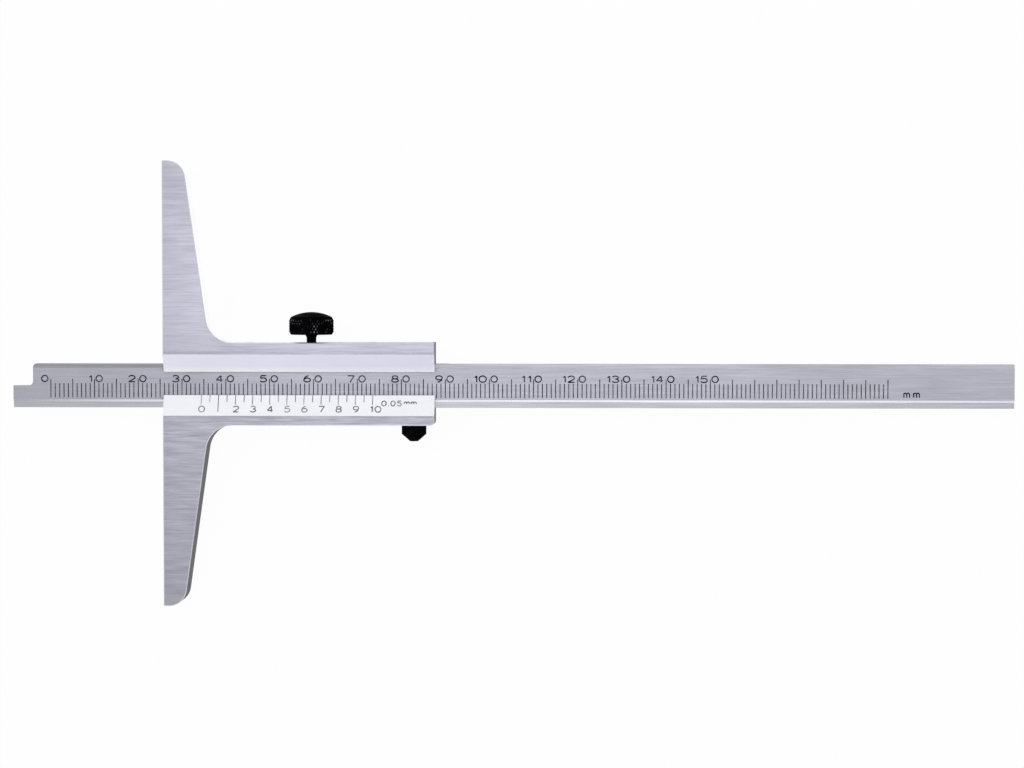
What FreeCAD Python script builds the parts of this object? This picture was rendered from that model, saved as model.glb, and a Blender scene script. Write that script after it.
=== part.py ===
"""Vernier depth gauge with a 150 mm range, in millimetres.

+X runs along the beam from its measuring tip to its tail, +Y across the gauge towards the clamp
screw, and +Z out of the graduated front. The origin is on the bridge's reference face, at the
middle of the bridge's length and on the plane of the back.
"""
import FreeCAD
import Part

import math
import os

# Measuring range, and the depth at which the beam is drawn
DEPTH_RANGE = 150.0
DEPTH_READING = 34.5

# Bridge: two wings that taper away from the slide
BRIDGE_LENGTH = 101.2
WING_TIP_WIDTH = 4.75
WING_TAPER_DEG = 8.1
WING_TIP_RADIUS = 4.1
WING_ROOT_RADIUS = 6.0

# Slide: walls round the beam, the bevelled lips and the broken edges
SLIDE_LENGTH = 61.7
GUIDE_WALL = 3.9
SCREW_WALL = 3.6
BACK_WALL = 1.6
FRONT_LIP = 2.1
LIP_EDGE = 0.15
VERNIER_LIP_COVER = 2.85
VERNIER_BEVEL_WIDTH = 4.6
UPPER_LIP_COVER = 1.85
UPPER_BEVEL_WIDTH = 4.0
SLIDE_CORNER_RADIUS = 0.9
BODY_EDGE_BREAK = 0.2
CORNER_RELIEF_RADIUS = 0.25

# Beam: section, stepped tip, relieved front edges and what is left past the slide at full depth
BEAM_HEIGHT = 10.0
BEAM_THICKNESS = 3.0
BEAM_TAIL_LEFT = 15.35
TONGUE_LENGTH = 4.5
TONGUE_HEIGHT = 5.0
TONGUE_FILLET = 1.0
SHOULDER_RADIUS = 0.8
TOP_CHAMFER_HEIGHT = 0.95
TOP_CHAMFER_DEPTH = 0.4
EDGE_STEP_HEIGHT = 1.12
EDGE_STEP_DEPTH = 0.4
EDGE_FACET_HEIGHT = 0.5
BEAM_EDGE_BREAK = 0.15

# Stop groove in the beam's lower edge
STOP_GROOVE_WIDTH = 1.4
STOP_GROOVE_DEPTH = 0.9
STOP_END_PLAY = 0.1

# Gib strip above the beam
GIB_THICKNESS = 1.0
GIB_LIFT = 0.22
GIB_END_INSET = 1.0
GIB_SIDE_PLAY = 0.1
GIB_DIMPLE_DEPTH = 0.6
GIB_END_BEVEL = 0.3

# Clamp screw: knurled head with a crown, neck and threaded end
CLAMP_FROM_FACE = 33.5
CLAMP_THREAD_DIAMETER = 2.5
CLAMP_NECK_DIAMETER = 2.2
CLAMP_HEAD_GAP = 1.73
CLAMP_HEAD_DIAMETER = 10.2
CLAMP_HEAD_HEIGHT = 5.15
CLAMP_CROWN_HEIGHT = 1.12
CLAMP_HEAD_TOP_BEVEL = 0.86
CLAMP_HEAD_FOOT_BEVEL = 0.7
CLAMP_HEAD_BEVEL_WIDTH = 0.45
CLAMP_FLARE_WIDTH = 0.55
CLAMP_FLARE_HEIGHT = 0.9
CLAMP_NECK_SUNK = 0.5
CLAMP_TIP_DIAMETER = 1.7

# Gib set screws, one on each side of the clamp screw
GIB_SCREW_SPACING = 14.0
GIB_SCREW_DIAMETER = 2.0
GIB_SCREW_SUNK = 0.3
GIB_SCREW_DOG_DIAMETER = 1.0
GIB_SCREW_DOG_LENGTH = 0.45
GIB_SCREW_SLOT_WIDTH = 0.35
GIB_SCREW_SLOT_DEPTH = 0.6

# Stop screw under the slide, with a conical head and a dog point that runs in the stop groove
STOP_FROM_TAIL = 4.84
STOP_THREAD_DIAMETER = 2.5
STOP_HEAD_DIAMETER = 5.63
STOP_HEAD_HEIGHT = 3.7
STOP_HEAD_SKIRT = 2.05
STOP_HEAD_TIP_DIAMETER = 2.1
STOP_DOG_DIAMETER = 1.1
STOP_DOG_CLEARANCE = 0.15

# Fits
SLIDING_CLEARANCE = 0.04
THREAD_CLEARANCE = 0.03
CLAMP_TIP_GAP = 0.02
DIMPLE_CLEARANCE = 0.1

# How far a cutting tool runs past the face it leaves
TOOL_OVERRUN = 2.0

# Heights of the section, from the back plane
SLOT_BACK = BACK_WALL
BEAM_BACK = SLOT_BACK + SLIDING_CLEARANCE
BEAM_FRONT = BEAM_BACK + BEAM_THICKNESS
SLOT_FRONT = BEAM_FRONT + SLIDING_CLEARANCE
BODY_FRONT = SLOT_FRONT + FRONT_LIP
BEAM_MIDDLE = (BEAM_BACK + BEAM_FRONT) / 2.0

# Places across the section, with the slide centred on the bridge
SLIDE_HEIGHT = (
    GUIDE_WALL + SLIDING_CLEARANCE + BEAM_HEIGHT + GIB_LIFT
    + GIB_THICKNESS + SLIDING_CLEARANCE + SCREW_WALL
)
SLIDE_BOTTOM = -SLIDE_HEIGHT / 2.0
SLIDE_TOP = SLIDE_HEIGHT / 2.0
SLOT_BOTTOM = SLIDE_BOTTOM + GUIDE_WALL
BEAM_BOTTOM = SLOT_BOTTOM + SLIDING_CLEARANCE
BEAM_TOP = BEAM_BOTTOM + BEAM_HEIGHT
GIB_BOTTOM = BEAM_TOP + GIB_LIFT
GIB_TOP = GIB_BOTTOM + GIB_THICKNESS
SLOT_TOP = SLIDE_TOP - SCREW_WALL
VERNIER_LIP = BEAM_BOTTOM + VERNIER_LIP_COVER
UPPER_LIP = BEAM_TOP - UPPER_LIP_COVER

# Places along the gauge
BEAM_LENGTH = SLIDE_LENGTH + DEPTH_RANGE + BEAM_TAIL_LEFT
BEAM_TIP = -DEPTH_READING
BEAM_TAIL = BEAM_TIP + BEAM_LENGTH
STOP_SCREW_X = SLIDE_LENGTH - STOP_FROM_TAIL
GIB_SCREW_PLACES = {
    "gib_screw_left": CLAMP_FROM_FACE - GIB_SCREW_SPACING,
    "gib_screw_right": CLAMP_FROM_FACE + GIB_SCREW_SPACING,
}

# The stop groove runs in the middle of the edge that the front step leaves
STOP_SCREW_Z = BEAM_BACK + (BEAM_THICKNESS - EDGE_STEP_DEPTH) / 2.0


def vector(x, y, z):
    """Return a point or direction."""
    return FreeCAD.Vector(x, y, z)


def plate(outline, low, high):
    """Return a plate between two heights from the corners of its outline, seen from the front."""
    corners = [vector(x, y, low) for x, y in outline]
    wire = Part.makePolygon(corners + corners[:1])
    return Part.Face(wire).extrude(vector(0, 0, high - low))


def bar(section, start, end):
    """Return a bar along the gauge from the corners of its section, given as (y, z)."""
    corners = [vector(start, y, z) for y, z in section]
    wire = Part.makePolygon(corners + corners[:1])
    return Part.Face(wire).extrude(vector(end - start, 0, 0))


def turned(profile, x, z):
    """Return a turned solid on an axis across the gauge at (x, z).

    The profile is a list of (radius, y) corners that starts and ends on the axis.
    """
    corners = [vector(x + radius, y, z) for radius, y in profile]
    wire = Part.makePolygon(corners + corners[:1])
    return Part.Face(wire).revolve(vector(x, 0, z), vector(0, 1, 0), 360)


def hole(diameter, x, z, low, high):
    """Return the round cutter of a hole across the gauge between two places in Y."""
    return Part.makeCylinder(diameter / 2.0, high - low, vector(x, low, z), vector(0, 1, 0))


def upright_edge(solid, x, y):
    """Return the edge of a plate that stands on the outline's corner at (x, y)."""
    near = 1e-6
    for edge in solid.Edges:
        ends = [vertex.Point for vertex in edge.Vertexes]
        if all(math.hypot(end.x - x, end.y - y) < near for end in ends):
            return edge
    raise ValueError("the plate has no edge at this corner")


def edges_on_height(solid, height):
    """Return the edges of a plate that lie on the plane at this height."""
    near = 1e-6
    return [
        edge for edge in solid.Edges
        if all(abs(vertex.Point.z - height) < near for vertex in edge.Vertexes)
    ]


def wing_tip_radius():
    """Return the radius at a wing's tip, which can be no larger than the tip's own width lets it."""
    half_corner = math.radians(90.0 + WING_TAPER_DEG) / 2.0
    largest = (WING_TIP_WIDTH - 2.0 * BODY_EDGE_BREAK) * math.tan(half_corner)
    return min(WING_TIP_RADIUS, largest)


def body_blank():
    """Return the outline of bridge and slide as one plate, with its radii and broken edges."""
    half_bridge = BRIDGE_LENGTH / 2.0
    rise = half_bridge - SLIDE_TOP
    root = WING_TIP_WIDTH + rise * math.tan(math.radians(WING_TAPER_DEG))
    outline = [
        (0.0, -half_bridge),
        (WING_TIP_WIDTH, -half_bridge),
        (root, SLIDE_BOTTOM),
        (SLIDE_LENGTH, SLIDE_BOTTOM),
        (SLIDE_LENGTH, SLIDE_TOP),
        (root, SLIDE_TOP),
        (WING_TIP_WIDTH, half_bridge),
        (0.0, half_bridge),
    ]
    blank = plate(outline, 0.0, BODY_FRONT)
    for side in (-1.0, 1.0):
        tip = upright_edge(blank, WING_TIP_WIDTH, side * half_bridge)
        blank = blank.makeFillet(wing_tip_radius(), [tip])
        corner = upright_edge(blank, root, side * SLIDE_TOP)
        blank = blank.makeFillet(WING_ROOT_RADIUS, [corner])
    tail = upright_edge(blank, SLIDE_LENGTH, SLIDE_BOTTOM)
    blank = blank.makeFillet(SLIDE_CORNER_RADIUS, [tail])
    rims = edges_on_height(blank, 0.0) + edges_on_height(blank, BODY_FRONT)
    return blank.makeChamfer(BODY_EDGE_BREAK, rims)


def guide_cutter():
    """Return the cutter of the guide: the slot of beam and gib, the window and both bevels."""
    above = BODY_FRONT + TOOL_OVERRUN
    lip_top = SLOT_FRONT + LIP_EDGE
    section = [
        (SLOT_BOTTOM, SLOT_BACK),
        (SLOT_BOTTOM, SLOT_FRONT),
        (VERNIER_LIP, SLOT_FRONT),
        (VERNIER_LIP, lip_top),
        (VERNIER_LIP - VERNIER_BEVEL_WIDTH, BODY_FRONT),
        (VERNIER_LIP - VERNIER_BEVEL_WIDTH, above),
        (UPPER_LIP + UPPER_BEVEL_WIDTH, above),
        (UPPER_LIP + UPPER_BEVEL_WIDTH, BODY_FRONT),
        (UPPER_LIP, lip_top),
        (UPPER_LIP, SLOT_FRONT),
        (SLOT_TOP, SLOT_FRONT),
        (SLOT_TOP, SLOT_BACK),
    ]
    return bar(section, -TOOL_OVERRUN, SLIDE_LENGTH + TOOL_OVERRUN)


def guide_reliefs():
    """Return the cutters of the round reliefs in the two corners that the beam's edge runs in."""
    length = SLIDE_LENGTH + 2.0 * TOOL_OVERRUN
    return [
        Part.makeCylinder(
            CORNER_RELIEF_RADIUS, length, vector(-TOOL_OVERRUN, SLOT_BOTTOM, z), vector(1, 0, 0)
        )
        for z in (SLOT_BACK, SLOT_FRONT)
    ]


def screw_holes():
    """Return the cutters of the four screw holes in the edges of the slide."""
    wall = (SLOT_TOP - CORNER_RELIEF_RADIUS, SLIDE_TOP + TOOL_OVERRUN)
    foot = (SLIDE_BOTTOM - TOOL_OVERRUN, SLOT_BOTTOM + CORNER_RELIEF_RADIUS)
    clamp_hole = CLAMP_THREAD_DIAMETER + 2.0 * THREAD_CLEARANCE
    gib_hole = GIB_SCREW_DIAMETER + 2.0 * THREAD_CLEARANCE
    stop_hole = STOP_THREAD_DIAMETER + 2.0 * THREAD_CLEARANCE
    cutters = [hole(clamp_hole, CLAMP_FROM_FACE, BEAM_MIDDLE, *wall)]
    cutters += [hole(gib_hole, x, BEAM_MIDDLE, *wall) for x in GIB_SCREW_PLACES.values()]
    cutters.append(hole(stop_hole, STOP_SCREW_X, STOP_SCREW_Z, *foot))
    return cutters


def slide_body():
    """Return the bridge and slide in one piece, with its guide, bevelled lips and screw holes."""
    return body_blank().cut([guide_cutter()] + guide_reliefs() + screw_holes())


def beam_blank():
    """Return the flat bar with its stepped tip."""
    shoulder = BEAM_TIP + TONGUE_LENGTH
    step = BEAM_BOTTOM + TONGUE_HEIGHT
    outline = [
        (BEAM_TIP, BEAM_BOTTOM),
        (BEAM_TAIL, BEAM_BOTTOM),
        (BEAM_TAIL, BEAM_TOP),
        (shoulder, BEAM_TOP),
        (shoulder, step),
        (BEAM_TIP, step),
    ]
    blank = plate(outline, BEAM_BACK, BEAM_FRONT)
    blank = blank.makeFillet(TONGUE_FILLET, [upright_edge(blank, shoulder, step)])
    blank = blank.makeFillet(SHOULDER_RADIUS, [upright_edge(blank, shoulder, BEAM_TOP)])
    return blank.makeChamfer(BEAM_EDGE_BREAK, edges_on_height(blank, BEAM_BACK))


def front_edge_cutters():
    """Return the cutters of the step along the lower front edge and the bevel along the upper."""
    floor = BEAM_FRONT - EDGE_STEP_DEPTH
    above = BEAM_FRONT + TOOL_OVERRUN
    step_top = BEAM_BOTTOM + EDGE_STEP_HEIGHT
    lower = [
        (BEAM_BOTTOM - TOOL_OVERRUN, floor),
        (BEAM_BOTTOM - TOOL_OVERRUN, above),
        (step_top + EDGE_FACET_HEIGHT, above),
        (step_top + EDGE_FACET_HEIGHT, BEAM_FRONT),
        (step_top, floor),
    ]
    upper = [
        (BEAM_TOP, BEAM_FRONT - TOP_CHAMFER_DEPTH),
        (BEAM_TOP - TOP_CHAMFER_HEIGHT, BEAM_FRONT),
        (BEAM_TOP - TOP_CHAMFER_HEIGHT, above),
        (BEAM_TOP + TOOL_OVERRUN, above),
        (BEAM_TOP + TOOL_OVERRUN, BEAM_FRONT - TOP_CHAMFER_DEPTH),
    ]
    start = BEAM_TIP - TOOL_OVERRUN
    end = BEAM_TAIL + TOOL_OVERRUN
    return [bar(lower, start, end), bar(upper, start, end)]


def stop_groove_cutter():
    """Return the cutter of the milled groove, with round ends, that limits the beam's travel."""
    radius = STOP_GROOVE_WIDTH / 2.0
    end_reach = STOP_DOG_DIAMETER / 2.0 + STOP_END_PLAY
    drawn_in = STOP_SCREW_X - DEPTH_READING
    first = drawn_in - end_reach + radius
    last = drawn_in + DEPTH_RANGE + end_reach - radius
    low = BEAM_BOTTOM - TOOL_OVERRUN
    high = BEAM_BOTTOM + STOP_GROOVE_DEPTH
    straight = Part.makeBox(
        last - first, high - low, STOP_GROOVE_WIDTH, vector(first, low, STOP_SCREW_Z - radius)
    )
    ends = [hole(STOP_GROOVE_WIDTH, x, STOP_SCREW_Z, low, high) for x in (first, last)]
    return straight.fuse(ends)


def beam():
    """Return the beam: stepped tip, relieved front edges and the stop groove underneath."""
    return beam_blank().cut(front_edge_cutters() + [stop_groove_cutter()])


def gib_strip():
    """Return the strip over the beam, with a dimple for each set screw and bevelled ends."""
    start = GIB_END_INSET
    end = SLIDE_LENGTH - GIB_END_INSET
    outline = [
        (start + GIB_END_BEVEL, GIB_BOTTOM),
        (end - GIB_END_BEVEL, GIB_BOTTOM),
        (end, GIB_BOTTOM + GIB_END_BEVEL),
        (end, GIB_TOP),
        (start, GIB_TOP),
        (start, GIB_BOTTOM + GIB_END_BEVEL),
    ]
    strip = plate(outline, SLOT_BACK + GIB_SIDE_PLAY, SLOT_FRONT - GIB_SIDE_PLAY)
    diameter = GIB_SCREW_DOG_DIAMETER + 2.0 * DIMPLE_CLEARANCE
    floor = GIB_TOP - GIB_DIMPLE_DEPTH
    dimples = [
        hole(diameter, x, BEAM_MIDDLE, floor, GIB_TOP + TOOL_OVERRUN)
        for x in GIB_SCREW_PLACES.values()
    ]
    return strip.cut(dimples)


def clamp_screw():
    """Return the turned clamp screw: tip, thread, neck, flare and the crowned head."""
    head_foot = SLIDE_TOP + CLAMP_HEAD_GAP
    head_radius = CLAMP_HEAD_DIAMETER / 2.0
    rim_radius = head_radius - CLAMP_HEAD_BEVEL_WIDTH
    neck_radius = CLAMP_NECK_DIAMETER / 2.0
    thread_radius = CLAMP_THREAD_DIAMETER / 2.0
    tip_radius = CLAMP_TIP_DIAMETER / 2.0
    tip = GIB_TOP + CLAMP_TIP_GAP
    thread_end = SLIDE_TOP - CLAMP_NECK_SUNK
    crown_foot = head_foot + CLAMP_HEAD_HEIGHT - CLAMP_CROWN_HEIGHT
    crown_top = head_foot + CLAMP_HEAD_HEIGHT
    outline = [
        (0.0, tip),
        (tip_radius, tip),
        (thread_radius, tip + thread_radius - tip_radius),
        (thread_radius, thread_end),
        (neck_radius, thread_end + thread_radius - neck_radius),
        (neck_radius, head_foot - CLAMP_FLARE_HEIGHT),
        (neck_radius + CLAMP_FLARE_WIDTH, head_foot),
        (rim_radius, head_foot),
        (head_radius, head_foot + CLAMP_HEAD_FOOT_BEVEL),
        (head_radius, crown_foot - CLAMP_HEAD_TOP_BEVEL),
        (rim_radius, crown_foot),
    ]
    corners = [vector(CLAMP_FROM_FACE + radius, y, BEAM_MIDDLE) for radius, y in outline]
    sphere_radius = (rim_radius ** 2 + CLAMP_CROWN_HEIGHT ** 2) / (2.0 * CLAMP_CROWN_HEIGHT)
    half_way = math.asin(rim_radius / sphere_radius) / 2.0
    crown_centre = crown_top - sphere_radius
    crown_middle = vector(
        CLAMP_FROM_FACE + sphere_radius * math.sin(half_way),
        crown_centre + sphere_radius * math.cos(half_way),
        BEAM_MIDDLE,
    )
    top = vector(CLAMP_FROM_FACE, crown_top, BEAM_MIDDLE)
    edges = Part.makePolygon(corners).Edges
    edges.append(Part.Arc(corners[-1], crown_middle, top).toShape())
    edges.append(Part.makeLine(top, corners[0]))
    face = Part.Face(Part.Wire(edges))
    return face.revolve(vector(CLAMP_FROM_FACE, 0, BEAM_MIDDLE), vector(0, 1, 0), 360)


def gib_screw(x):
    """Return one slotted set screw with a dog point, sunk in the slide's upper edge."""
    head = SLIDE_TOP - GIB_SCREW_SUNK
    radius = GIB_SCREW_DIAMETER / 2.0
    dog_radius = GIB_SCREW_DOG_DIAMETER / 2.0
    profile = [
        (0.0, SLOT_TOP - GIB_SCREW_DOG_LENGTH),
        (dog_radius, SLOT_TOP - GIB_SCREW_DOG_LENGTH),
        (dog_radius, SLOT_TOP),
        (radius, SLOT_TOP),
        (radius, head),
        (0.0, head),
    ]
    slot = Part.makeBox(
        GIB_SCREW_SLOT_WIDTH,
        GIB_SCREW_SLOT_DEPTH + TOOL_OVERRUN,
        GIB_SCREW_DIAMETER + 2.0 * TOOL_OVERRUN,
        vector(
            x - GIB_SCREW_SLOT_WIDTH / 2.0,
            head - GIB_SCREW_SLOT_DEPTH,
            BEAM_MIDDLE - radius - TOOL_OVERRUN,
        ),
    )
    return turned(profile, x, BEAM_MIDDLE).cut(slot)


def stop_screw():
    """Return the stop screw: conical head under the slide, thread, and dog point in the groove."""
    head_radius = STOP_HEAD_DIAMETER / 2.0
    tip_radius = STOP_HEAD_TIP_DIAMETER / 2.0
    thread_radius = STOP_THREAD_DIAMETER / 2.0
    dog_radius = STOP_DOG_DIAMETER / 2.0
    dog_end = BEAM_BOTTOM + STOP_GROOVE_DEPTH - STOP_DOG_CLEARANCE
    profile = [
        (0.0, SLIDE_BOTTOM - STOP_HEAD_HEIGHT),
        (tip_radius, SLIDE_BOTTOM - STOP_HEAD_HEIGHT),
        (head_radius, SLIDE_BOTTOM - STOP_HEAD_SKIRT),
        (head_radius, SLIDE_BOTTOM),
        (thread_radius, SLIDE_BOTTOM),
        (thread_radius, SLOT_BOTTOM - STOP_DOG_CLEARANCE),
        (dog_radius, SLOT_BOTTOM - STOP_DOG_CLEARANCE),
        (dog_radius, dog_end),
        (0.0, dog_end),
    ]
    return turned(profile, STOP_SCREW_X, STOP_SCREW_Z)


def main():
    """Write each piece to its own file."""
    pieces = {
        "slide_body": slide_body(),
        "beam": beam(),
        "gib_strip": gib_strip(),
        "clamp_screw": clamp_screw(),
        "stop_screw": stop_screw(),
    }
    for name, x in GIB_SCREW_PLACES.items():
        pieces[name] = gib_screw(x)
    os.makedirs("parts", exist_ok=True)
    for name, piece in pieces.items():
        piece.exportStep(f"parts/{name}.step")


main()
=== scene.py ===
"""Vernier depth gauge with a 150 mm range: engraving, finishes and the studio.

The gauge lies on its back. +X runs from the measuring tip to the tail of the beam, +Y across
the gauge towards the clamp screw and +Z out of the graduated front. Sizes are in millimetres
and become metres in the meshes.
"""
from __future__ import annotations

import logging
import math
from contextlib import contextmanager
from dataclasses import dataclass, field
from enum import Enum
from typing import Callable, Iterator, Sequence

import bpy
from mathutils import Matrix, Vector

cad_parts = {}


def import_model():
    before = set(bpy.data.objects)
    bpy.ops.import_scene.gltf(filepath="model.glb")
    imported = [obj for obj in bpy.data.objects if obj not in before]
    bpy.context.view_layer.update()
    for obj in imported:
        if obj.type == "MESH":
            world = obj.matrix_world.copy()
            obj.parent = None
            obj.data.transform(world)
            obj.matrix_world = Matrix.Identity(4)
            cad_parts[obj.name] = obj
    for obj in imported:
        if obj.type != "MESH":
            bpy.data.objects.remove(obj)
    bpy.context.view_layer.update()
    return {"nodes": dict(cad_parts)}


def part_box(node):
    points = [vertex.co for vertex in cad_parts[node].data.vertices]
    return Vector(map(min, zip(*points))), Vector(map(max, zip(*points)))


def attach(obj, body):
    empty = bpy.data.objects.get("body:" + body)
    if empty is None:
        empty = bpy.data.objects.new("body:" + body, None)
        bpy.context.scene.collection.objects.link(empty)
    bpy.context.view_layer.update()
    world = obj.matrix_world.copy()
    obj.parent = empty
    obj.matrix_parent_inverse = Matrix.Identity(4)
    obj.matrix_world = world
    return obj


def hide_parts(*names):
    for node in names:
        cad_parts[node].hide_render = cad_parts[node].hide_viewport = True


MM = 0.001
LOG = logging.getLogger("depth_gauge")

# The attribute that marks the crests of the knurl
CREST = "crest"
# Edges that are blunter than this angle, in degrees, are shaded smooth
MACHINED_EDGE = 18.0
TURNED_EDGE = 28.0
# Faces that differ by less than this angle, in degrees, are one flat face
FLAT_ANGLE = 0.2
# Vertices that are closer than this, in millimetres, are merged
PATH_GAP = 0.001
TURNED_GAP = 0.002
MESH_GAP = 0.0005
# The range that most values of a noise lie in
NOISE_LOW = 0.3
NOISE_HIGH = 0.7
# The places of the colour sockets of a Mix node, whose names its other kinds share
MIX_FIRST = 6
MIX_SECOND = 7
MIX_RESULT = 2

Point2 = tuple[float, float]
Colour = tuple[float, float, float]
Number = float | bpy.types.NodeSocket
FaceTest = Callable[[bpy.types.MeshPolygon], bool]


class Body(Enum):
    """The bodies of the gauge that move apart from each other."""

    SLIDE = "slide"
    BEAM = "beam"
    CLAMP = "clamp"


class Slot(Enum):
    """The names of three material slots."""

    BODY_STEEL = "satin_steel_body"
    BEAM_STEEL = "satin_steel_beam"
    BLACK = "black_oxide"


class Effect(Enum):
    """The shader node groups that several finishes share."""

    GRAIN = "brushed_grain"
    HANDLING = "handling_marks"


def deselect_all() -> None:
    """Leave edit mode and deselect every object."""
    if bpy.context.object is not None and bpy.context.object.mode != "OBJECT":
        bpy.ops.object.mode_set(mode="OBJECT")
    bpy.ops.object.select_all(action="DESELECT")


def activate(obj: bpy.types.Object) -> None:
    """Make one object the only selected one, and the active one.

    Args:
        obj: The object to work on.
    """
    deselect_all()
    obj.select_set(True)
    bpy.context.view_layer.objects.active = obj


@contextmanager
def editing(obj: bpy.types.Object) -> Iterator[None]:
    """Work on an object in edit mode, and leave it in object mode afterwards.

    Args:
        obj: The object, which becomes the only selected one.

    Yields:
        Nothing.
    """
    activate(obj)
    bpy.ops.object.mode_set(mode="EDIT")
    yield
    bpy.ops.object.mode_set(mode="OBJECT")


def name_active(name: str) -> bpy.types.Object:
    """Name the active object and its data.

    Args:
        name: The new name.

    Returns:
        The active object.
    """
    obj = bpy.context.object
    obj.name = name
    obj.data.name = name
    return obj


def place_in_mesh(obj: bpy.types.Object) -> None:
    """Write an object's place into its mesh, so that the object sits at the origin.

    Args:
        obj: The object, which is left selected and active.
    """
    activate(obj)
    bpy.ops.object.transform_apply(location=True, rotation=True, scale=True)


def join(objects: Sequence[bpy.types.Object], name: str) -> bpy.types.Object:
    """Join several mesh objects into one.

    Args:
        objects: The objects to join.
        name: The joined object's name.

    Returns:
        The joined object.
    """
    activate(objects[0])
    for obj in objects:
        obj.select_set(True)
    if len(objects) > 1:
        bpy.ops.object.join()
    return name_active(name)


def copy_mesh(source: bpy.types.Object, name: str) -> bpy.types.Object:
    """Copy an object's mesh into a new object at the origin.

    Args:
        source: The object to copy.
        name: The copy's name.

    Returns:
        The new object, with its own mesh.
    """
    obj = bpy.data.objects.new(name, source.data.copy())
    bpy.context.scene.collection.objects.link(obj)
    return obj


def smooth(piece: bpy.types.Object, degrees: float) -> None:
    """Shade a piece smooth, apart from the edges that are sharper than an angle.

    Args:
        piece: The piece.
        degrees: The angle.
    """
    activate(piece)
    bpy.ops.object.shade_smooth_by_angle(angle=math.radians(degrees))


def engrave(piece: bpy.types.Object, tool: bpy.types.Object) -> None:
    """Cut a tool's shape out of a piece, with the tool's finish in the cut.

    Args:
        piece: The piece.
        tool: The cutter, which is removed.
    """
    place_in_mesh(tool)
    activate(piece)
    modifier = piece.modifiers.new("engraving", "BOOLEAN")
    modifier.operation = "DIFFERENCE"
    modifier.solver = "EXACT"
    modifier.use_self = True
    modifier.material_mode = "TRANSFER"
    modifier.object = tool
    bpy.ops.object.modifier_apply(modifier=modifier.name)
    bpy.data.objects.remove(tool)


def trace_path(points: Sequence[Point2], closed: bool, name: str) -> bpy.types.Object:
    """Draw a path in the XY plane by extruding one vertex from point to point.

    Args:
        points: The path's corners, in millimetres.
        closed: Whether the last point is joined to the first.
        name: The path's name.

    Returns:
        An object whose mesh is a chain of edges.
    """
    deselect_all()
    bpy.ops.mesh.primitive_plane_add(size=MM)
    path = name_active(name)
    with editing(path):
        bpy.ops.mesh.select_all(action="SELECT")
        bpy.ops.mesh.merge(type="CENTER")
        bpy.ops.transform.translate(value=(points[0][0] * MM, points[0][1] * MM, 0.0))
        for (x0, y0), (x1, y1) in zip(points, points[1:]):
            step = ((x1 - x0) * MM, (y1 - y0) * MM, 0.0)
            bpy.ops.mesh.extrude_region_move(TRANSFORM_OT_translate={"value": step})
        if closed:
            bpy.ops.mesh.select_all(action="SELECT")
            bpy.ops.mesh.remove_doubles(threshold=PATH_GAP * MM)
    return path


def turned(
    profile: Sequence[Point2], x: float, z: float, steps: int, name: str
) -> bpy.types.Object:
    """Turn a profile about an axis across the gauge.

    Args:
        profile: Corners as (radius, y) in millimetres, from axis to axis.
        x: The axis's place along the gauge.
        z: The axis's height.
        steps: The number of segments round the axis.
        name: The piece's name.

    Returns:
        The turned piece, closed, with its normals outwards.
    """
    piece = trace_path(profile, False, name)
    with editing(piece):
        bpy.ops.mesh.select_all(action="SELECT")
        bpy.ops.mesh.spin(steps=steps, angle=2.0 * math.pi, center=(0, 0, 0), axis=(0, 1, 0))
        bpy.ops.mesh.select_all(action="SELECT")
        bpy.ops.mesh.remove_doubles(threshold=TURNED_GAP * MM)
        bpy.ops.mesh.normals_make_consistent(inside=False)
    piece.location = (x * MM, 0.0, z * MM)
    place_in_mesh(piece)
    smooth(piece, TURNED_EDGE)
    return piece


def arc(
    centre: Point2, radii: Point2, start: float, end: float, step: float = 22.5
) -> list[Point2]:
    """Return points on an elliptical arc.

    Args:
        centre: The centre.
        radii: The radii in X and Y.
        start: The first angle in degrees.
        end: The last angle in degrees.
        step: The largest angle between two points.

    Returns:
        The points in order, ends included.
    """
    count = max(2, math.ceil(abs(end - start) / step))
    angles = [math.radians(start + (end - start) * i / count) for i in range(count + 1)]
    return [
        (centre[0] + radii[0] * math.cos(a), centre[1] + radii[1] * math.sin(a))
        for a in angles
    ]


@dataclass(frozen=True)
class Glyph:
    """One engraved sign, in heights of the sign.

    A stroke is its points and whether it is closed.
    """

    width: float
    strokes: tuple[tuple[tuple[Point2, ...], bool], ...]


def glyph(width: float, *strokes: Sequence[Point2]) -> Glyph:
    """Make a sign from its strokes; a stroke that ends where it starts is a closed one.

    Args:
        width: The sign's width, in heights.
        strokes: The points of each stroke, in heights.

    Returns:
        The sign.
    """
    return Glyph(
        width, tuple((tuple(points), math.dist(points[0], points[-1]) < 1e-6) for points in strokes)
    )


def six_strokes() -> list[list[Point2]]:
    """Return the strokes of a six.

    Returns:
        A bowl and a curved back.
    """
    bowl = arc((0.48, 0.31), (0.48, 0.31), 0.0, 360.0)
    back = arc((0.82, 0.34), (0.8, 0.66), 180.0, 100.0)
    return [bowl, back]


def half_turned(strokes: Sequence[Sequence[Point2]], width: float) -> list[list[Point2]]:
    """Turn strokes by half a turn, which makes a nine from a six."""
    return [[(width - x, 1.0 - y) for x, y in stroke] for stroke in strokes]


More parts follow.
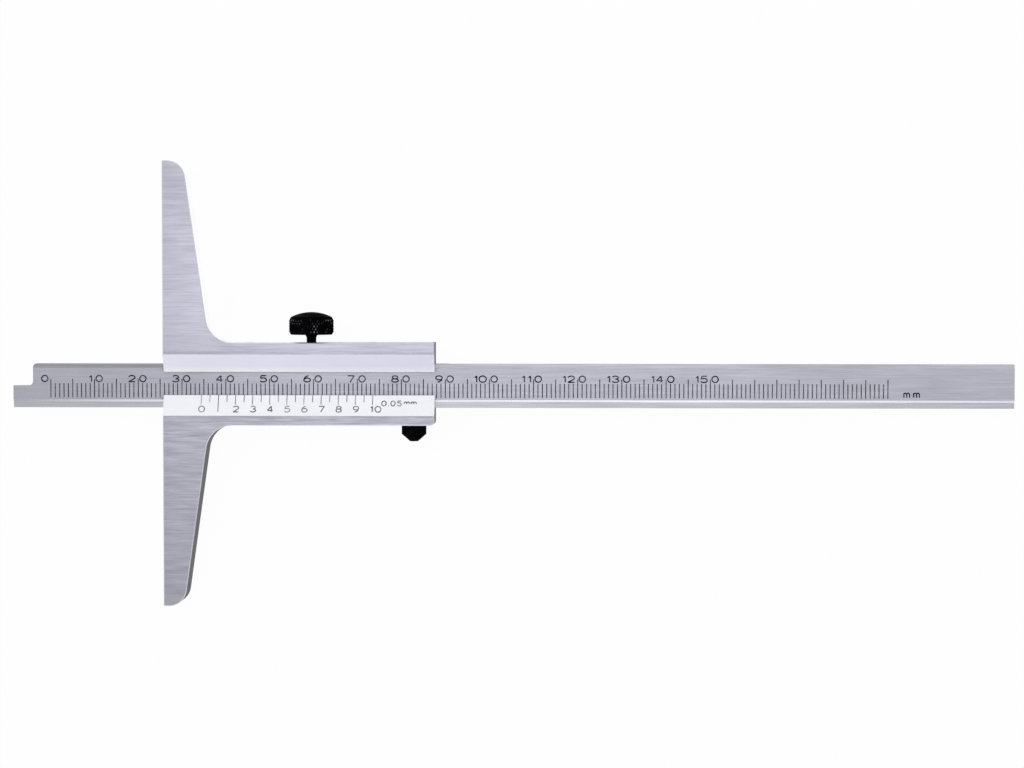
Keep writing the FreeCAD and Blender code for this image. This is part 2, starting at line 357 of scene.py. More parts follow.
GLYPHS: dict[str, Glyph] = {
    "0": glyph(1.06, arc((0.53, 0.5), (0.53, 0.5), 90.0, 450.0)),
    "1": glyph(0.28, [(0.0, 0.74), (0.28, 0.99)], [(0.28, 1.0), (0.28, 0.0)]),
    "2": glyph(
        0.98,
        arc((0.49, 0.69), (0.46, 0.31), 165.0, -35.0) + [(0.03, 0.0)],
        [(0.0, 0.0), (0.98, 0.0)],
    ),
    "3": glyph(
        0.94,
        arc((0.45, 0.76), (0.42, 0.24), 160.0, -90.0),
        arc((0.45, 0.26), (0.49, 0.26), 90.0, -160.0),
    ),
    "4": glyph(
        0.94,
        [(0.66, 1.0), (0.0, 0.29)],
        [(0.0, 0.28), (0.94, 0.28)],
        [(0.68, 1.0), (0.68, 0.0)],
    ),
    "5": glyph(
        0.94,
        [(0.88, 1.0), (0.14, 1.0)],
        [(0.15, 1.0), (0.08, 0.53)],
        arc((0.45, 0.32), (0.49, 0.32), 138.0, -155.0),
    ),
    "6": glyph(0.96, *six_strokes()),
    "7": glyph(0.96, [(0.0, 1.0), (0.96, 1.0)], [(0.95, 1.0), (0.34, 0.0)]),
    "8": glyph(
        0.96,
        arc((0.48, 0.76), (0.4, 0.24), 0.0, 360.0),
        arc((0.48, 0.26), (0.48, 0.26), 0.0, 360.0),
    ),
    "9": glyph(0.96, *half_turned(six_strokes(), 0.96)),
    ".": glyph(0.12, [(0.0, 0.0), (0.12, 0.0)]),
    "m": glyph(
        1.2,
        [(0.0, 0.0), (0.0, 1.0)],
        arc((0.3, 0.62), (0.3, 0.38), 175.0, 0.0) + [(0.6, 0.0)],
        arc((0.9, 0.62), (0.3, 0.38), 175.0, 0.0) + [(1.2, 0.0)],
    ),
}


@dataclass(frozen=True)
class Lettering:
    """The size of engraved signs, in millimetres between the middles of their strokes."""

    height: float
    gap: float
    stretch: float = 1.0

    def sign_width(self, sign: str) -> float:
        """Return a sign's width."""
        return GLYPHS[sign].width * self.height * self.stretch

    def word_width(self, word: str) -> float:
        """Return a word's width."""
        return sum(self.sign_width(sign) for sign in word) + self.gap * (len(word) - 1)


@dataclass
class Engraver:
    """Makes the cutters of engraved signs and lines, as V grooves of one stroke width.

    The work's surface is at Z = 0. The cutters' axes lie above it, so that only their two
    lower faces meet it, where the groove is as wide as the stroke.
    """

    stroke: float
    ink: bpy.types.Material
    lift: float = 0.04
    made: dict[tuple[str, float, float], bpy.types.Object] = field(default_factory=dict)

    def _stroke_tool(self, points: Sequence[Point2], closed: bool) -> bpy.types.Object:
        """Sweep the V section along one stroke.

        Args:
            points: The stroke's points in millimetres.
            closed: Whether the stroke is a loop.

        Returns:
            The stroke's cutter.
        """
        path = trace_path(points, closed, "stroke")
        activate(path)
        bpy.ops.object.convert(target="CURVE")
        curve = path.data
        curve.twist_mode = "Z_UP"
        curve.bevel_depth = (self.stroke / 2.0 + self.lift) * MM
        curve.bevel_resolution = 0
        curve.use_fill_caps = not closed
        bpy.ops.object.convert(target="MESH")
        tool = bpy.context.object
        with editing(tool):
            bpy.ops.mesh.select_all(action="SELECT")
            bpy.ops.mesh.remove_doubles(threshold=MESH_GAP * MM)
            bpy.ops.mesh.normals_make_consistent(inside=False)
        return tool

    def _sign_tool(self, sign: str, height: float, stretch: float) -> bpy.types.Object:
        """Return the cutter of a sign with its lower left corner at the origin.

        Args:
            sign: The sign's character.
            height: The height between the middles of its strokes, in millimetres.
            stretch: How much wider than usual the sign is.

        Returns:
            The cutter, made once for each sign, height and stretch.
        """
        key = (sign, height, stretch)
        if key not in self.made:
            tools = [
                self._stroke_tool([(x * height * stretch, y * height) for x, y in points], closed)
                for points, closed in GLYPHS[sign].strokes
            ]
            tool = join(tools, "sign_tool")
            tool.data.materials.clear()
            tool.data.materials.append(self.ink)
            self.made[key] = tool
        return self.made[key]

    def word(self, word: str, left: float, foot: float, text: Lettering) -> list[bpy.types.Object]:
        """Return the cutters of a word.

        Args:
            word: The signs.
            left: The middle of the first stroke, in X.
            foot: The middle of the lowest stroke, in Y.
            text: The size of the signs.

        Returns:
            One cutter for each sign.
        """
        tools = []
        for sign in word:
            tool = copy_mesh(self._sign_tool(sign, text.height, text.stretch), "sign")
            tool.location = (left * MM, foot * MM, self.lift * MM)
            place_in_mesh(tool)
            tools.append(tool)
            left += text.sign_width(sign) + text.gap
        return tools

    def line(self, x: float, low: float, high: float) -> bpy.types.Object:
        """Return the cutter of one upright line.

        Args:
            x: The line's place.
            low: Its lower end in Y.
            high: Its upper end in Y.

        Returns:
            A square bar on its edge, with its axis just above the surface.
        """
        deselect_all()
        bpy.ops.mesh.primitive_cylinder_add(
            vertices=4,
            radius=(self.stroke / 2.0 + self.lift) * MM,
            depth=(high - low) * MM,
            location=(x * MM, (low + high) / 2.0 * MM, self.lift * MM),
            rotation=(math.pi / 2.0, 0.0, 0.0),
        )
        tool = name_active("line_tool")
        tool.data.materials.append(self.ink)
        place_in_mesh(tool)
        return tool

    def row(self, tool: bpy.types.Object, step: float, count: int) -> bpy.types.Object:
        """Repeat a line's cutter along X.

        Args:
            tool: The cutter to repeat.
            step: The distance between two lines.
            count: The number of lines.

        Returns:
            The cutter of the whole row.
        """
        activate(tool)
        array = tool.modifiers.new("row", "ARRAY")
        array.use_relative_offset = False
        array.use_constant_offset = True
        array.constant_offset_displace = (step * MM, 0.0, 0.0)
        array.count = count
        bpy.ops.object.modifier_apply(modifier=array.name)
        return tool

    def clear(self) -> None:
        """Remove the signs that were kept for copying."""
        for tool in self.made.values():
            bpy.data.objects.remove(tool)
        self.made.clear()


class Tree:
    """A short way to write a node tree."""

    def __init__(self, tree: bpy.types.NodeTree) -> None:
        """Keep the tree that the nodes go into."""
        self.tree = tree

    def add(self, kind: str, **settings: object) -> bpy.types.Node:
        """Add a node and set its own properties.

        Args:
            kind: The node's type, without the leading ShaderNode.
            settings: Properties of the node and their values.

        Returns:
            The node.
        """
        prefix = "" if kind.startswith("NodeGroup") else "ShaderNode"
        node = self.tree.nodes.new(prefix + kind)
        for name, value in settings.items():
            setattr(node, name, value)
        return node

    def link(self, source: bpy.types.NodeSocket, target: bpy.types.NodeSocket) -> None:
        """Join an output to an input."""
        self.tree.links.new(source, target)

    def feed(self, value: Number, target: bpy.types.NodeSocket) -> None:
        """Give an input a plain number or another node's output.

        Args:
            value: A socket or a number.
            target: The input.
        """
        if isinstance(value, bpy.types.NodeSocket):
            self.link(value, target)
        else:
            target.default_value = value

    def math(
        self, operation: str, first: Number, second: Number = 0.0, clamp: bool = False
    ) -> bpy.types.NodeSocket:
        """Add a Math node.

        Args:
            operation: The node's operation.
            first: A socket or a number.
            second: A socket or a number.
            clamp: Whether the result is kept between 0 and 1.

        Returns:
            The node's output.
        """
        node = self.add("Math", operation=operation, use_clamp=clamp)
        for socket, value in zip(node.inputs, (first, second)):
            self.feed(value, socket)
        return node.outputs[0]

    def product(self, first: Number, *others: Number) -> bpy.types.NodeSocket:
        """Multiply values, from the first one on.

        Args:
            first: A socket or a number.
            others: The sockets or numbers that it is multiplied by.

        Returns:
            The product.
        """
        for other in others:
            first = self.math("MULTIPLY", first, other)
        return first

    def blend(self, share: bpy.types.NodeSocket, first: Number, second: Number) -> bpy.types.NodeSocket:
        """Add a Mix node for numbers.

        Args:
            share: 0 for the first value and 1 for the second.
            first: A socket or a number.
            second: A socket or a number.

        Returns:
            The node's output.
        """
        node = self.add("Mix", data_type="FLOAT")
        self.link(share, node.inputs["Factor"])
        for label, value in (("A", first), ("B", second)):
            self.feed(value, node.inputs[label])
        return node.outputs[0]

    def tint(
        self, tone: bpy.types.NodeSocket, dark: Colour | bpy.types.NodeSocket, light: Colour
    ) -> bpy.types.NodeSocket:
        """Add a Mix node for two colours.

        Args:
            tone: 0 for the dark colour and 1 for the light one.
            dark: The first colour, or a socket that gives it.
            light: The second colour.

        Returns:
            The colour.
        """
        node = self.add("Mix", data_type="RGBA")
        self.link(tone, node.inputs["Factor"])
        if isinstance(dark, bpy.types.NodeSocket):
            self.link(dark, node.inputs[MIX_FIRST])
        else:
            node.inputs[MIX_FIRST].default_value = (*dark, 1.0)
        node.inputs[MIX_SECOND].default_value = (*light, 1.0)
        return node.outputs[MIX_RESULT]

    def noise(
        self, vector: bpy.types.NodeSocket, scale: float, detail: float, rough: float = 0.5
    ) -> bpy.types.NodeSocket:
        """Add a Noise Texture node.

        Args:
            vector: The coordinates.
            scale: The number of cells in a unit.
            detail: The number of octaves.
            rough: The share that the finer octaves have.

        Returns:
            The noise, from 0 to 1.
        """
        node = self.add("TexNoise")
        self.link(vector, node.inputs["Vector"])
        node.inputs["Scale"].default_value = scale
        node.inputs["Detail"].default_value = detail
        node.inputs["Roughness"].default_value = rough
        return node.outputs["Fac"]

    def place(self, axis: str) -> bpy.types.NodeSocket:
        """Return the place along one axis of the frame.

        Args:
            axis: The axis, X, Y or Z.

        Returns:
            The place in metres.
        """
        split = self.add("SeparateXYZ")
        self.link(self.add("TexCoord").outputs["Object"], split.inputs[0])
        return split.outputs[axis]

    def band(self, axis: str, start: float, end: float, edge: float) -> bpy.types.NodeSocket:
        """Return 1 within a band across one axis and 0 outside of it.

        Args:
            axis: The axis, X, Y or Z.
            start: Where the band starts, in millimetres.
            end: Where it ends.
            edge: How wide the change is at both.

        Returns:
            The band.
        """
        place = self.place(axis)
        rise = self.ramp(place, (start - edge) * MM, start * MM, 0.0, 1.0)
        fall = self.ramp(place, end * MM, (end + edge) * MM, 1.0, 0.0)
        return self.product(rise, fall)

    def ramp(
        self, value: bpy.types.NodeSocket, low: float, high: float,
        to_low: float, to_high: float,
    ) -> bpy.types.NodeSocket:
        """Map a range to another one, kept within its ends.

        Args:
            value: The value to map.
            low: The value that gives to_low.
            high: The value that gives to_high.
            to_low: The first result.
            to_high: The last result.

        Returns:
            The mapped value.
        """
        node = self.add("MapRange")
        self.link(value, node.inputs["Value"])
        for name, number in (
            ("From Min", low), ("From Max", high), ("To Min", to_low), ("To Max", to_high),
        ):
            node.inputs[name].default_value = number
        return node.outputs["Result"]

    def spread(self, noise: bpy.types.NodeSocket, to_low: float, to_high: float) -> bpy.types.NodeSocket:
        """Spread a noise over a range."""
        return self.ramp(noise, NOISE_LOW, NOISE_HIGH, to_low, to_high)


def new_group(
    name: str, inputs: Sequence[tuple[str, float]], outputs: Sequence[str]
) -> tuple[Tree, bpy.types.Node, bpy.types.Node]:
    """Make an empty shader node group with plain number sockets.

    Args:
        name: The group's name.
        inputs: The name and the value at rest of each input.
        outputs: The name of each output.

    Returns:
        The tree, its input node and its output node.
    """
    group = bpy.data.node_groups.new(name, "ShaderNodeTree")
    for label, value in inputs:
        socket = group.interface.new_socket(label, in_out="INPUT", socket_type="NodeSocketFloat")
        socket.default_value = value
    for label in outputs:
        group.interface.new_socket(label, in_out="OUTPUT", socket_type="NodeSocketFloat")
    tree = Tree(group)
    return tree, tree.add("NodeGroupInput"), tree.add("NodeGroupOutput")


def build_grain() -> None:
    """Build the effect of long fine scratches along X, as a tone and a height."""
    tree, given, out = new_group(
        Effect.GRAIN.value,
        [("Along", 60.0), ("Across", 9000.0), ("Coarse Across", 1500.0)],
        ["Tone", "Height"],
    )
    place = tree.add("TexCoord").outputs["Object"]
    tones = []
    for across, detail in (("Across", 2.0), ("Coarse Across", 3.0)):
        size = tree.add("CombineXYZ")
        tree.link(given.outputs["Along"], size.inputs["X"])
        tree.link(given.outputs[across], size.inputs["Y"])
        tree.link(given.outputs[across], size.inputs["Z"])
        scaled = tree.add("VectorMath", operation="MULTIPLY")
        tree.link(place, scaled.inputs[0])
        tree.link(size.outputs[0], scaled.inputs[1])
        tones.append(tree.noise(scaled.outputs[0], 1.0, detail, 0.6))
    both = tree.math("ADD", tree.product(tones[0], 0.55), tree.product(tones[1], 0.45))
    tree.link(both, out.inputs["Tone"])
    tree.link(tones[0], out.inputs["Height"])


def build_handling() -> None:
    """Build the effect of handling: soft clouds and small specks, as a tone each."""
    tree, given, out = new_group(
        Effect.HANDLING.value,
        [("Cloud Scale", 45.0), ("Speck Scale", 1400.0)],
        ["Clouds", "Specks"],
    )
    place = tree.add("TexCoord").outputs["Object"]
    for label, scale, detail in (("Clouds", "Cloud Scale", 3.0), ("Specks", "Speck Scale", 2.0)):
        scaled = tree.add("VectorMath", operation="SCALE")
        tree.link(place, scaled.inputs[0])
        tree.link(given.outputs[scale], scaled.inputs["Scale"])
        tree.link(tree.noise(scaled.outputs[0], 1.0, detail, 0.55), out.inputs[label])


def build_effects() -> None:
    """Build each shared effect once."""
    build_grain()
    build_handling()


def new_material(name: str) -> tuple[bpy.types.Material, Tree, bpy.types.Node]:
    """Make a material with one Principled BSDF.

    Args:
        name: The material's name.

    Returns:
        The material, its node tree and its shader.
    """
    material = bpy.data.materials.new(name)
    material.use_nodes = True
    tree = Tree(material.node_tree)
    shader = material.node_tree.nodes["Principled BSDF"]
    return material, tree, shader


def effect(tree: Tree, kind: Effect, **values: float) -> bpy.types.Node:
    """Place a shared effect in a material.

    Args:
        tree: The material's tree.
        kind: The effect.
        values: Its inputs, with underscores for spaces.

    Returns:
        The group's node.
    """
    node = tree.add("Group")
    node.node_tree = bpy.data.node_groups[kind.value]
    for name, value in values.items():
        node.inputs[name.replace("_", " ")].default_value = value
    return node


def shaded(tree: Tree, level: bpy.types.NodeSocket, colour: Colour) -> bpy.types.NodeSocket:
    """Multiply a colour by a level.

    Args:
        tree: The material's tree.
        level: The level, from 0 to 2.
        colour: The colour at a level of 1.

    Returns:
        The shaded colour.
    """
    double = tuple(2.0 * part for part in colour)
    return tree.tint(tree.product(level, 0.5), (0.0, 0.0, 0.0), double)


def roughen(
    tree: Tree, shader: bpy.types.Node, height: bpy.types.NodeSocket, strength: float,
    distance: float = 0.01,
) -> None:
    """Give a surface a fine relief.

    Args:
        tree: The material's tree.
        shader: The material's shader.
        height: The relief, from 0 to 1.
        strength: How much of it shows.
        distance: Its height in millimetres.
    """
    bump = tree.add("Bump")
    bump.inputs["Strength"].default_value = strength
    bump.inputs["Distance"].default_value = distance * MM
    tree.link(height, bump.inputs["Height"])
    tree.link(bump.outputs["Normal"], shader.inputs["Normal"])


@dataclass(frozen=True)
class BrushedSteel:
    """Stainless steel, ground or brushed along the gauge.

    The colour may carry a painted fade of light and shade towards one place along the gauge,
    be darker beside a seam on both sides of the middle, and carry painted contact shade where
    another piece lies close. Places are in millimetres.
    """

    name: str
    colour: Colour = (0.56, 0.56, 0.62)
    contrast: float = 0.1
    clouds: float = 0.04
    roughness: float = 0.3
    roughness_spread: float = 0.08
    along: float = 40.0
    across: float = 7000.0
    coarse_across: float = 1300.0
    relief: float = 0.25
    # A painted fade along the gauge: a level under 1 is painted shade, a level over 1 painted light
    fade_start: float = 0.0
    fade_end: float = 50.0
    fade_level: float = 1.0
    seam: float = 0.0
    seam_width: float = 0.7
    seam_level: float = 0.9
    # Painted contact shade: how far an Ambient Occlusion node looks for another piece, in millimetres; 0
    # leaves it out
    contact: float = 0.0

    def _places(self, tree: Tree) -> bpy.types.NodeSocket:
        """Return the share of the colour that is left beside a seam and under painted light and shade.

        Args:
            tree: The material's tree.

        Returns:
            The share from the painted fade along the gauge, beside a seam, and from painted
            contact shade close to another piece.
        """
        # Painted fade of light and shade along the gauge
        share = tree.ramp(
            tree.place("X"), self.fade_start * MM, self.fade_end * MM, self.fade_level, 1.0
        )
        if self.seam > 0.0:
            off = tree.math("SUBTRACT", tree.math("ABSOLUTE", tree.place("Y")), self.seam * MM)
            seam = tree.ramp(off, 0.0, self.seam_width * MM, self.seam_level, 1.0)
            share = tree.product(share, seam)
        # Painted contact shade: the colour darkens where another piece lies close
        if self.contact > 0.0:
            near = tree.add("AmbientOcclusion", samples=8)
            near.inputs["Distance"].default_value = self.contact * MM
            share = tree.product(share, near.outputs["AO"])
        return share

    def build(self) -> bpy.types.Material:
        """Build the material.

        Returns:
            The material.
        """
        material, tree, shader = new_material(self.name)
        grain = effect(
            tree, Effect.GRAIN, Along=self.along, Across=self.across, Coarse_Across=self.coarse_across
        )
        marks = effect(tree, Effect.HANDLING)
        streaks = tree.spread(grain.outputs["Tone"], 1.0 - self.contrast, 1.0 + self.contrast)
        clouds = tree.spread(marks.outputs["Clouds"], 1.0 - self.clouds, 1.0 + self.clouds)
        level = tree.product(streaks, clouds, self._places(tree))
        tree.link(shaded(tree, level, self.colour), shader.inputs["Base Color"])
        rough = tree.spread(
            grain.outputs["Tone"],
            self.roughness + self.roughness_spread, self.roughness - self.roughness_spread,
        )
        tree.link(rough, shader.inputs["Roughness"])
        shader.inputs["Metallic"].default_value = 1.0
        roughen(tree, shader, grain.outputs["Height"], self.relief)
        return material


@dataclass(frozen=True)
class SatinChrome:
    """Matt chrome plating on the bevels, with a fine even frost and a painted highlight on the lip.

    The lip's place is in Y, in millimetres, as are the lengths over which the painted highlight
    at the lip and the painted fade at the bridge's face change to the colour's own.
    """

    name: str
    lip: float
    colour: Colour = (0.82, 0.82, 0.86)
    roughness: float = 0.42
    roughness_spread: float = 0.05
    clouds: float = 0.04
    cloud_scale: float = 70.0
    frost_scale: float = 5200.0
    metallic: float = 0.85
    # Painted highlight along the lip, and a painted fade whose level over 1 is painted light
    lip_width: float = 1.3
    lip_level: float = 1.0
    fade_end: float = 45.0
    fade_level: float = 1.0

    def build(self) -> bpy.types.Material:
        """Build the material.

        Returns:
            The material.
        """
        material, tree, shader = new_material(self.name)
        marks = effect(
            tree, Effect.HANDLING, Cloud_Scale=self.cloud_scale, Speck_Scale=self.frost_scale
        )
        clouds = tree.spread(marks.outputs["Clouds"], 1.0 - self.clouds, 1.0)
        # Painted fade along the gauge and painted highlight along the lip
        fade = tree.ramp(tree.place("X"), 0.0, self.fade_end * MM, self.fade_level, 1.0)
        to_lip = tree.math("ABSOLUTE", tree.math("SUBTRACT", tree.place("Y"), self.lip * MM))
        rubbed = tree.ramp(to_lip, 0.0, self.lip_width * MM, self.lip_level, 1.0)
        level = tree.product(clouds, fade, rubbed)
        tree.link(shaded(tree, level, self.colour), shader.inputs["Base Color"])
        rough = tree.spread(
            marks.outputs["Specks"],
            self.roughness - self.roughness_spread, self.roughness + self.roughness_spread,
        )
        tree.link(rough, shader.inputs["Roughness"])
        shader.inputs["Metallic"].default_value = self.metallic
        roughen(tree, shader, marks.outputs["Specks"], 0.2, 0.004)
        return material


@dataclass(frozen=True)
class Ink:
    """The dark filling of engraved lines and signs."""

    name: str
    colour: Colour = (0.015, 0.013, 0.025)
    worn: Colour = (0.16, 0.15, 0.2)
    worn_clouds: tuple[float, float] = (0.4, 0.65)
    roughness: float = 0.6

    def build(self) -> bpy.types.Material:
        """Build the material.

        Returns:
            The material.
        """
        material, tree, shader = new_material(self.name)
        marks = effect(tree, Effect.HANDLING, Cloud_Scale=420.0, Speck_Scale=3000.0)
        tone = tree.ramp(marks.outputs["Clouds"], *self.worn_clouds, 0.0, 1.0)
        tree.link(tree.tint(tone, self.colour, self.worn), shader.inputs["Base Color"])
        shader.inputs["Roughness"].default_value = self.roughness
        shader.inputs["Specular IOR Level"].default_value = 0.2
        roughen(tree, shader, marks.outputs["Specks"], 0.3)
        return material


@dataclass(frozen=True)
class BlackOxide:
    """Blackened steel with painted grey highlights, in patches, where an attribute of the mesh
    marks its crests.

    Its IOR is low so that it stays dark where it is seen at a flat angle. The clouds and the
    crest have ranges over which they change the colour.
    """

    name: str
    colour: Colour = (0.0016, 0.0015, 0.002)
    cloudy: Colour = (0.004, 0.004, 0.005)
    cloudy_clouds: tuple[float, float] = (0.4, 0.7)
    # Painted highlights on the crests: their colour, and the ranges of the clouds and the crest that
    # bring them in
    rubbed: Colour = (0.45, 0.42, 0.48)
    rubbed_clouds: tuple[float, float] = (0.5, 0.66)
    rubbed_crest: tuple[float, float] = (0.55, 0.9)
    roughness: float = 0.55
    ior: float = 1.04

    def build(self) -> bpy.types.Material:
        """Build the material.

        Returns:
            The material.
        """
        material, tree, shader = new_material(self.name)
        marks = effect(tree, Effect.HANDLING, Cloud_Scale=500.0, Speck_Scale=6000.0)
        tone = tree.ramp(marks.outputs["Clouds"], *self.cloudy_clouds, 0.0, 1.0)
        black = tree.tint(tone, self.colour, self.cloudy)
        # Painted highlights: grey dots on the knurl's crests, in patches
        crest = tree.add("Attribute", attribute_name=CREST).outputs["Fac"]
        patches = tree.ramp(marks.outputs["Clouds"], *self.rubbed_clouds, 0.0, 1.0)
        worn = tree.product(tree.ramp(crest, *self.rubbed_crest, 0.0, 1.0), patches)
        tree.link(tree.tint(worn, black, self.rubbed), shader.inputs["Base Color"])
        rough = tree.spread(marks.outputs["Specks"], self.roughness - 0.06, self.roughness + 0.1)
        tree.link(rough, shader.inputs["Roughness"])
        shader.inputs["IOR"].default_value = self.ior
        roughen(tree, shader, marks.outputs["Specks"], 0.25)
        return material


@dataclass(frozen=True)
class GibBronze:
    """Rolled bronze of the gib strip."""

    name: str
    colour: Colour = (0.66, 0.42, 0.2)
    tarnished: Colour = (0.4, 0.25, 0.13)

    def build(self) -> bpy.types.Material:
        """Build the material.

        Returns:
            The material.
        """
        material, tree, shader = new_material(self.name)
        marks = effect(tree, Effect.HANDLING, Cloud_Scale=160.0, Speck_Scale=4000.0)
        grain = effect(tree, Effect.GRAIN, Along=50.0, Across=6000.0, Coarse_Across=1500.0)
        tone = tree.math("MULTIPLY", marks.outputs["Clouds"], 1.2, clamp=True)
        tree.link(tree.tint(tone, self.tarnished, self.colour), shader.inputs["Base Color"])
        tree.link(tree.spread(grain.outputs["Tone"], 0.45, 0.3), shader.inputs["Roughness"])
        shader.inputs["Metallic"].default_value = 1.0
        roughen(tree, shader, grain.outputs["Height"], 0.3)
        return material


def dress(obj: bpy.types.Object, material: bpy.types.Material) -> None:
    """Give an object one material in its first slot.

    Args:
        obj: The object.
        material: The material.
    """
    if obj.data.materials:
        obj.data.materials[0] = material
    else:
        obj.data.materials.append(material)


def stand_for(piece: bpy.types.Object, node: str, body: Body) -> None:
    """Let a piece take a node's place on its body.

    Args:
        piece: The finished piece.
        node: The node that it stands for.
        body: The body that it moves with.
    """
    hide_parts(node)
    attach(piece, body.value)
    LOG.info("%s stands for %s on %s: %d faces", piece.name, node, body.value, len(piece.data.polygons))


def merged_copy(source: bpy.types.Object, name: str) -> bpy.types.Object:
    """Copy a node's mesh, merged and with its flat faces whole.

    Args:
        source: The node's object.
        name: The copy's name.

    Returns:
        The copy.
    """
    piece = copy_mesh(source, name)
    activate(piece)
    if piece.data.has_custom_normals:
        bpy.ops.mesh.customdata_custom_splitnormals_clear()
    with editing(piece):
        bpy.ops.mesh.select_all(action="SELECT")
        bpy.ops.mesh.remove_doubles(threshold=MESH_GAP * MM)
        bpy.ops.mesh.mark_sharp(clear=True)
        bpy.ops.mesh.dissolve_limited(angle_limit=math.radians(FLAT_ANGLE))
    return piece


def is_front(face: bpy.types.MeshPolygon) -> bool:
    """Return whether a face looks straight out of the front."""
    return face.normal.z > 0.99


def is_broken_edge(face: bpy.types.MeshPolygon) -> bool:
    """Return whether a face lies halfway between the front or the back and a side."""
    return 0.5 < abs(face.normal.z) < 0.8


def is_flank(face: bpy.types.MeshPolygon) -> bool:
    """Return whether a face looks to a side."""
    return abs(face.normal.z) < 0.2


def is_slope(face: bpy.types.MeshPolygon, side: float) -> bool:
    """Return whether a face of the front slopes gently towards +Y, at a side of 1, or -Y, at -1."""
    return 0.8 < face.normal.z < 0.97 and face.normal.y * side > 0.2


def select_faces(piece: bpy.types.Object, test: FaceTest) -> None:
    """Select only the faces that pass a test.

    Args:
        piece: The piece, which is left in object mode with faces as its kind of selection.
        test: Tells whether a face is selected.
    """
    with editing(piece):
        bpy.ops.mesh.select_mode(type="FACE")
        bpy.ops.mesh.select_all(action="DESELECT")
    for face in piece.data.polygons:
        face.select = test(face)


def paint_faces(piece: bpy.types.Object, material: bpy.types.Material, test: FaceTest) -> None:
    """Give the faces that pass a test a further material.

    Args:
        piece: The piece.
        material: The finish of these faces.
        test: Tells whether a face is painted.
    """
    piece.data.materials.append(material)
    index = len(piece.data.materials) - 1
    painted = [face for face in piece.data.polygons if test(face)]
    for face in painted:
        face.material_index = index
    LOG.info("%s: %d faces in %s", piece.name, len(painted), material.name)


@dataclass(frozen=True)
class SteelFinishes:
    """The finishes of the gauge's steel and the ink in its engraving."""

    ground: bpy.types.Material
    # A lighter, bluer copy of the ground steel: painted light
    ground_upper: bpy.types.Material
    broken_edge: bpy.types.Material
    flank: bpy.types.Material
    vernier_chrome: bpy.types.Material
    upper_chrome: bpy.types.Material
    beam: bpy.types.Material
    chamfer: bpy.types.Material
    facet: bpy.types.Material
    relief: bpy.types.Material
    scale_ink: bpy.types.Material
    vernier_ink: bpy.types.Material


